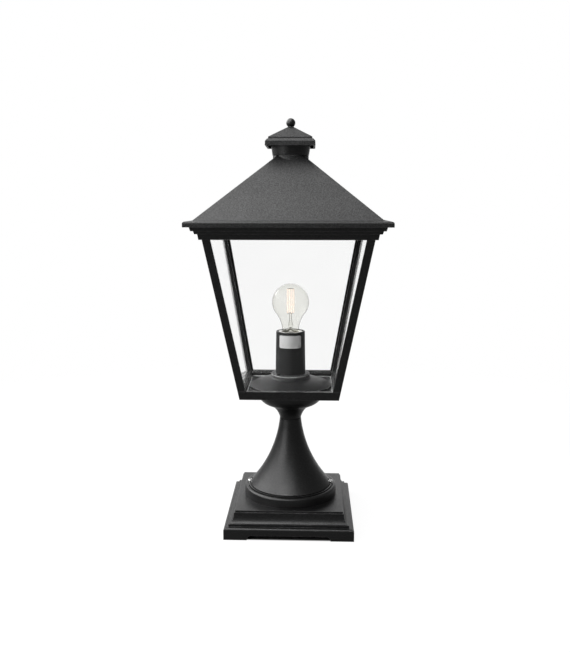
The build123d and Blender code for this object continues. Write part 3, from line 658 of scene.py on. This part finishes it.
def makeScrews(node, shank, head, height, length, count, turn, upsideDown=False):
    low, high = spanOf(node)
    reach = high.x - head
    circle = reach / math.cos(math.radians(turn))
    seat = low.z + height if upsideDown else high.z - height
    screw = scratchObject("oneScrew", panScrew("oneScrew", shank, head, height, length, upsideDown))
    mesh = growMesh(node + "Set", pieceRing, Piece=screw, Count=count, Radius=circle * mm,
                    Turn=math.radians(turn), Height=seat * mm, Twist=1.4, Finish=finishOf(node))
    bpy.data.objects.remove(screw)
    settle(newPiece(node + "Set", mesh, node), node)


for node, sizes in screwSets.items():
    makeScrews(node, **sizes)
print("screws ready:", len(screwSets), "sets")


# tie rod and ball

tieRod = dict(root=2.2, ridge=0.28, pitch=0.8, threaded=30.0, bare=1.0)


def makeTieRod():
    low, high = spanOf("tie_rod")
    top, chamfer = high.z, tieRod["ridge"]
    core = latheMesh("rodCore", [(0.0, low.z), (tieRod["root"], low.z), (tieRod["root"], top - chamfer),
                                 (tieRod["root"] - chamfer, top), (0.0, top)], 32)
    rise = tieRod["threaded"] - 2 * tieRod["bare"]
    turns = rise / tieRod["pitch"]
    radius = high.x - tieRod["ridge"]
    parts = [core]
    for foot in (top - tieRod["threaded"], low.z + tieRod["bare"]):
        parts.append(growMesh("rodThread", threadSweep, Radius=radius * mm, Turns=turns, Rise=rise * mm,
                              Ridge=tieRod["ridge"] * mm, Height=foot * mm, Finish=finishOf("tie_rod")))
    settle(newPiece("tieRodThreaded", joinMeshes("tieRodThreaded", *parts), "tie_rod"), "tie_rod")


finialBall = dict(bore=2.8, wall=1.6)


def makeFinialBall():
    low, high = spanOf("finial")
    radius = high.x
    centre = high.z - radius
    foot = math.degrees(math.asin((low.z - centre) / radius))
    roof = high.z - finialBall["wall"]
    outline = [*arcPoints((0.0, centre), radius, 90, foot, 40), (finialBall["bore"], low.z),
               (finialBall["bore"], roof), (0.0, roof)]
    settle(newPiece("finialBall", latheMesh("finialBall", outline, 72), "finial"), "finial")


makeTieRod()
makeFinialBall()
print("rod and ball ready")


# sealant

floorBead = dict(side=132.6, corner=5.0, bead=0.8, height=219.3)


def makeFloorBead():
    # laid where the lamp's plate meets the rails
    sizes = {label: floorBead[label.lower()] * mm for label in ("Side", "Corner", "Bead", "Height")}
    mesh = growMesh("floorBead", squareBead, Finish=finishOf("pane_seals"), **sizes)
    piece = newPiece("floorBead", mesh, "pane_seals")
    mesh.materials[0] = materials["sealBead"]
    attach(piece, bodyOf["pane_seals"])


tubeBead = dict(radius=30.1, height=239.6, bead=0.38)


def makeTubeBead():
    # the thin line squeezed out under the tube's flange
    outline = arcPoints((tubeBead["radius"], tubeBead["height"]), tubeBead["bead"], 0, 360, 10)[:-1]
    piece = newPiece("tubeBead", latheMesh("tubeBead", outline, closed=True), "pane_seals")
    piece.data.materials[0] = materials["sealBead"]
    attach(piece, bodyOf["holder_tube"])


makeFloorBead()
makeTubeBead()
print("sealant ready")


# lamp

lampBulb = dict(wall=0.7, neckRadius=13.2, neckRise=6.0, footRise=3.0, footRadius=12.4)


def bulbLine(low, high, inset):
    # the globe and the neck's bend touch where their centres line up
    radius, neck = high.x, lampBulb["neckRadius"]
    centre, neckZ = high.z - high.x, low.z + lampBulb["neckRise"]
    drop = centre - neckZ
    bend = (neck ** 2 + drop ** 2 - radius ** 2) / (2 * (radius - neck))
    meet = math.degrees(math.atan2(-drop, neck + bend))
    return [*arcPoints((0.0, centre), radius - inset, 90, meet, 48),
            *arcPoints((neck + bend, neckZ), bend + inset, 180 + meet, 180, 20)[1:],
            (lampBulb["footRadius"] - inset, low.z + lampBulb["footRise"]),
            (lampBulb["footRadius"] - inset, low.z)]


def makeBulbGlass():
    low, high = spanOf("bulb_glass")
    outline = bulbLine(low, high, 0.0) + bulbLine(low, high, lampBulb["wall"])[::-1]
    settle(newPiece("bulbGlass", latheMesh("bulbGlass", outline, 128), "bulb_glass"), "bulb_glass")


lampCap = dict(wall=0.45, ridge=0.62, pitch=3.62, turns=4.2, start=2.4, shoulder=1.2)


def makeLampCap():
    # rolled shell with its round thread
    low, high = spanOf("bulb_cap")
    root = high.x - lampCap["ridge"]
    inner = root - lampCap["wall"]
    shell = latheMesh("capShell", [
        (inner, low.z), (root - lampCap["shoulder"] / 2, low.z), (root, low.z + lampCap["shoulder"]),
        (root, high.z - lampCap["shoulder"]), (high.x, high.z), (inner, high.z)], 72, closed=True)
    thread = growMesh("capThread", threadSweep, Radius=root * mm, Turns=lampCap["turns"],
                      Rise=lampCap["turns"] * lampCap["pitch"] * mm, Ridge=lampCap["ridge"] * mm,
                      Height=(low.z + lampCap["start"]) * mm, Finish=finishOf("bulb_cap"))
    settle(newPiece("lampCap", joinMeshes("lampCap", shell, thread), "bulb_cap"), "bulb_cap")


glassMount = dict(seat=17.0, flare=((1.5, 7.2), (5.0, 3.4)), wall=0.7, hollow=((-3.0, 0.0), (-4.0, 1.2)),
                  waist=(3.1, 2.7), press=(3.9, 1.5), pressEnd=(3.1, 1.2), pressFoot=313.5, pressTop=321.5,
                  tube=(1.5, 1.2))


def makeGlassMount():
    # hollow flare, flat press and exhaust tube in one piece of glass
    low, high = spanOf("bulb_stem")
    look, wall = glassMount, glassMount["wall"]
    seat, foot, top = low.z + look["seat"], look["pressFoot"], look["pressTop"]
    flare = [(seat, high.x), *((seat + rise, radius) for rise, radius in look["flare"])]
    rings = [(foot + rise, radius, radius) for rise, radius in look["hollow"]]
    rings += [(height, radius - wall, radius - wall) for height, radius in reversed(flare)]
    rings += [(height, radius, radius) for height, radius in flare]
    rings += [(foot, *look["waist"]), (foot + 2.0, *look["press"]), (top - 1.5, *look["press"]),
              (top, *look["pressEnd"]), (top + 0.8, *look["tube"]), (high.z - 1.0, *look["tube"]),
              (high.z, 0.0, 0.0)]
    settle(newPiece("glassMount", loftMesh("glassMount", rings, 48), "bulb_stem"), "bulb_stem")


ledSticks = dict(circle=5.0, radius=0.8, bend=0.5, count=4, turn=20.0)


def makeLedSticks():
    low, high = spanOf("bulb_filaments")
    radius, bend = ledSticks["radius"], ledSticks["bend"]
    length = high.z - low.z
    outline = [(0.0, 0.0), *arcPoints((radius - bend, bend), bend, -90, 0, 4),
               *arcPoints((radius - bend, length - bend), bend, 0, 90, 4), (0.0, length)]
    stick = scratchObject("oneStick", latheMesh("oneStick", outline, 16))
    mesh = growMesh("ledSticks", pieceRing, Piece=stick, Count=ledSticks["count"],
                    Radius=ledSticks["circle"] * mm, Turn=math.radians(ledSticks["turn"]),
                    Height=low.z * mm, Twist=0.0, Finish=finishOf("bulb_filaments"))
    bpy.data.objects.remove(stick)
    settle(newPiece("ledSticks", mesh, "bulb_filaments"), "bulb_filaments")


leadWires = dict(radius=0.3, drop=0.45, footRise=11.6, sag=0.4, spread=2.4, sunk=4.0, out=3.0, bend=8.0)


def between(here, there, nearShare, farShare, height):
    x, y = (near * nearShare + far * farShare for near, far in zip(here, there))
    return x, y, height


def makeLeadWires():
    # a star of wire over the sticks, a tie under each pair and two leads from the press
    low, high = spanOf("bulb_wires")
    look, press = leadWires, glassMount["pressTop"]
    top, foot = high.z - look["drop"], low.z + look["footRise"]
    turns = [math.radians(ledSticks["turn"]) + quarter * math.pi / 2 for quarter in range(4)]
    circle = ledSticks["circle"]
    corners = [(circle * math.cos(turn), circle * math.sin(turn)) for turn in turns]
    paths = [[(0.0, 0.0, top), (x * 0.6, y * 0.6, top), (x, y, top)] for x, y in corners]
    for side, way in ((0, 1), (2, -1)):
        here, there = corners[side], corners[side + 1]
        level = foot - look["sag"]
        paths.append([(*here, foot), between(here, there, 1.05, 0.3, level),
                      between(there, here, 1.05, 0.3, level), (*there, foot)])
        reach = way * look["spread"]
        paths.append([(reach, 0.0, press - look["sunk"]), (reach, 0.0, press + look["out"]),
                      between(here, there, 0.4, 0.6, foot - look["bend"]),
                      between(here, there, 0.6, 0.55, foot - look["radius"])])
    mesh = wireMesh("leadWires", paths, leadWires["radius"])
    settle(newPiece("leadWires", mesh, "bulb_wires"), "bulb_wires")


def makeLampTip():
    # solder dome on a black glass button
    low, high = spanOf("bulb_contact")
    radius = high.x
    rise = high.z - low.z
    dome = [(radius * math.sin(turn), high.z - rise * math.cos(turn))
            for turn in (math.pi / 2 * step / 10 for step in range(11))]
    settle(newPiece("solderTip", latheMesh("solderTip", dome + [(0.0, high.z)], 40), "bulb_contact"),
           "bulb_contact")
    low, high = spanOf("bulb_insulator")
    bulge = [(radius + (high.x - radius) * share, low.z + (high.z - low.z) * share ** 1.6)
             for share in (step / 8 for step in range(9))]
    outline = [(0.0, low.z), *bulge, (0.0, high.z)]
    settle(newPiece("glassButton", latheMesh("glassButton", outline, 48), "bulb_insulator"),
           "bulb_insulator")


makeBulbGlass()
makeLampCap()
makeGlassMount()
makeLedSticks()
makeLeadWires()
makeLampTip()
print("lamp ready")


# stage, light and camera

def lookShare(tree, behind):
    # 1 for what the eye sees straight or through glass, less in a reflection, 0 after a diffuse bounce
    light = put(tree, "ShaderNodeLightPath")
    through = put(tree, "ShaderNodeMath", operation="MAXIMUM")
    seen = put(tree, "ShaderNodeMath", operation="MAXIMUM")
    first = put(tree, "ShaderNodeMath", {1: 0.5}, operation="LESS_THAN")
    share = put(tree, "ShaderNodeMath", operation="MULTIPLY")
    wire(tree, light, "Is Camera Ray", through, 0)
    wire(tree, light, "Is Transmission Ray", through, 1)
    wire(tree, through, "Value", seen, 0)
    wire(tree, light, "Is Glossy Ray", seen, 1)
    wire(tree, light, "Diffuse Depth", first, 0)
    wire(tree, seen, "Value", share, 0)
    wire(tree, first, "Value", share, 1)
    limit = put(tree, "ShaderNodeMapRange", {"To Min": 1.0})
    least = put(tree, "ShaderNodeMath", operation="MINIMUM")
    wire(tree, light, "Glossy Depth", limit, "Value")
    wire(tree, behind, "Result", limit, "To Max")
    wire(tree, share, "Value", least, 0)
    wire(tree, limit, "Result", least, 1)
    return least


studio = dict(floorRadius=1.6, paper=0.08, glow=0.95, fadeStart=0.35, fadeEnd=1.3, paintedFootShade=4.0,
              mirrorStart=0.1, mirrorEnd=0.5, paperWay=(0.0, 0.985, 0.17), paperStart=0.83, paperEnd=0.93,
              ambient=0.06, room=0.16)


def makeFloor():
    bpy.ops.mesh.primitive_circle_add(vertices=96, radius=studio["floorRadius"], fill_type="NGON")
    floor = bpy.context.object
    floor.name = "studioFloor"
    material = bpy.data.materials.new("studioPaper")
    material.use_nodes = True
    tree = material.node_tree
    tree.nodes.remove(tree.nodes["Principled BSDF"])
    paper = put(tree, "ShaderNodeBsdfDiffuse", {"Color": (studio["paper"],) * 3 + (1.0,)})
    glow = put(tree, "ShaderNodeEmission", {"Color": (1.0, 1.0, 1.0, 1.0)})
    lift = put(tree, "ShaderNodeMath", {1: studio["glow"]}, operation="MULTIPLY")
    shown = put(tree, "ShaderNodeMath", operation="MULTIPLY")
    total = put(tree, "ShaderNodeAddShader")
    gone = put(tree, "ShaderNodeBsdfTransparent")
    fade = put(tree, "ShaderNodeMixShader")
    place = put(tree, "ShaderNodeTexCoord")
    far = put(tree, "ShaderNodeVectorMath", operation="LENGTH")
    rim = put(tree, "ShaderNodeMapRange", {"From Min": studio["fadeStart"], "From Max": studio["fadeEnd"]},
              interpolation_type="SMOOTHSTEP")
    size = put(tree, "ShaderNodeVectorMath", operation="ABSOLUTE")
    axes = put(tree, "ShaderNodeSeparateXYZ")
    side = put(tree, "ShaderNodeMath", operation="MAXIMUM")
    half = spanOf("plinth")[1].x * mm
    paintedShadeStart = half - studio["paintedFootShade"] * mm
    paintedShadeUnderFoot = put(tree, "ShaderNodeMapRange", {"From Min": paintedShadeStart, "From Max": half})     # painted shade under the foot: the floor's glow is cut off inside the plinth's footprint and fades in over its last few mm
    face = put(tree, "ShaderNodeNewGeometry")
    clear = put(tree, "ShaderNodeMath", operation="MAXIMUM")     # nothing hides the lantern from below
    depth = put(tree, "ShaderNodeSeparateXYZ")
    behind = put(tree, "ShaderNodeMapRange", {"From Min": studio["mirrorStart"],
                                              "From Max": studio["mirrorEnd"], "To Min": studio["room"]})
    wire(tree, place, "Object", depth, "Vector")
    wire(tree, depth, "Y", behind, "Value")
    share = lookShare(tree, behind)
    wire(tree, share, "Value", lift, 0)
    wire(tree, place, "Object", size, 0)
    wire(tree, size, "Vector", axes, "Vector")
    wire(tree, axes, "X", side, 0)
    wire(tree, axes, "Y", side, 1)
    wire(tree, side, "Value", paintedShadeUnderFoot, "Value")
    wire(tree, lift, "Value", shown, 0)
    wire(tree, paintedShadeUnderFoot, "Result", shown, 1)
    wire(tree, shown, "Value", glow, "Strength")
    wire(tree, paper, "BSDF", total, 0)
    wire(tree, glow, "Emission", total, 1)
    wire(tree, place, "Object", far, 0)
    wire(tree, far, "Value", rim, "Value")
    wire(tree, rim, "Result", clear, 0)
    wire(tree, face, "Backfacing", clear, 1)
    wire(tree, clear, "Value", fade, 0)
    wire(tree, total, "Shader", fade, 1)
    wire(tree, gone, "BSDF", fade, 2)
    wire(tree, fade, "Shader", tree.nodes["Material Output"], "Surface")
    floor.data.materials.append(material)


def makeWorld():
    world = bpy.data.worlds.new("studio")
    scene.world = world
    world.use_nodes = True
    tree = world.node_tree
    tree.nodes.clear()
    out = put(tree, "ShaderNodeOutputWorld")
    place = put(tree, "ShaderNodeTexCoord")
    reach = put(tree, "ShaderNodeVectorMath", {1: studio["paperWay"]}, operation="DOT_PRODUCT")
    behind = put(tree, "ShaderNodeMapRange", {"From Min": studio["paperStart"],
                                              "From Max": studio["paperEnd"], "To Min": studio["room"]},
                 interpolation_type="SMOOTHSTEP")     # white paper straight behind, a dim room elsewhere
    white = put(tree, "ShaderNodeBackground", {"Color": (1.0, 1.0, 1.0, 1.0), "Strength": 1.0})
    fill = put(tree, "ShaderNodeBackground", {"Color": (1.0, 1.0, 1.0, 1.0), "Strength": studio["ambient"]})
    mix = put(tree, "ShaderNodeMixShader")
    wire(tree, place, "Generated", reach, 0)
    wire(tree, reach, "Value", behind, "Value")
    share = lookShare(tree, behind)
    wire(tree, share, "Value", mix, 0)
    wire(tree, fill, "Background", mix, 1)
    wire(tree, white, "Background", mix, 2)
    wire(tree, mix, "Shader", out, "Surface")


lamps = {     # place, aim, width, height, watts
    "topSoftbox": ((-0.4, -0.05, 2.2), (0.0, 0.0, 0.3), 1.5, 1.5, 24.0),
    "leftSoftbox": ((-1.3, -1.1, 1.0), (0.0, 0.0, 0.25), 1.3, 1.4, 18.0),
    "highSoftbox": ((-1.25, 0.45, 1.3), (0.0, 0.0, 0.15), 2.0, 1.4, 34.0),
    "frontSoftbox": ((-0.35, -0.95, 1.75), (0.0, 0.0, 0.1), 1.2, 0.7, 14.0),
}


def makeLamps():
    for name, (where, aim, width, height, watts) in lamps.items():
        data = bpy.data.lights.new(name, "AREA")
        data.shape = "RECTANGLE"
        data.size, data.size_y, data.energy = width, height, watts
        lamp = bpy.data.objects.new(name, data)
        lamp.location = where
        lamp.rotation_euler = (Vector(aim) - Vector(where)).to_track_quat("-Z", "Y").to_euler()
        scene.collection.objects.link(lamp)


eye = dict(place=(0.0324, -1.1696, 0.5093), pitch=9.36, turn=2.02, lens=41.14)


def makeCamera():
    data = bpy.data.cameras.new("eye")
    data.lens = eye["lens"]
    data.sensor_width = 36.0
    data.clip_end = 50.0
    camera = bpy.data.objects.new("eye", data)
    camera.location = eye["place"]
    camera.rotation_euler = (math.radians(90.0 - eye["pitch"]), 0.0, math.radians(eye["turn"]))
    scene.collection.objects.link(camera)
    scene.camera = camera


makeFloor()
makeWorld()
makeLamps()
makeCamera()
print("stage ready")
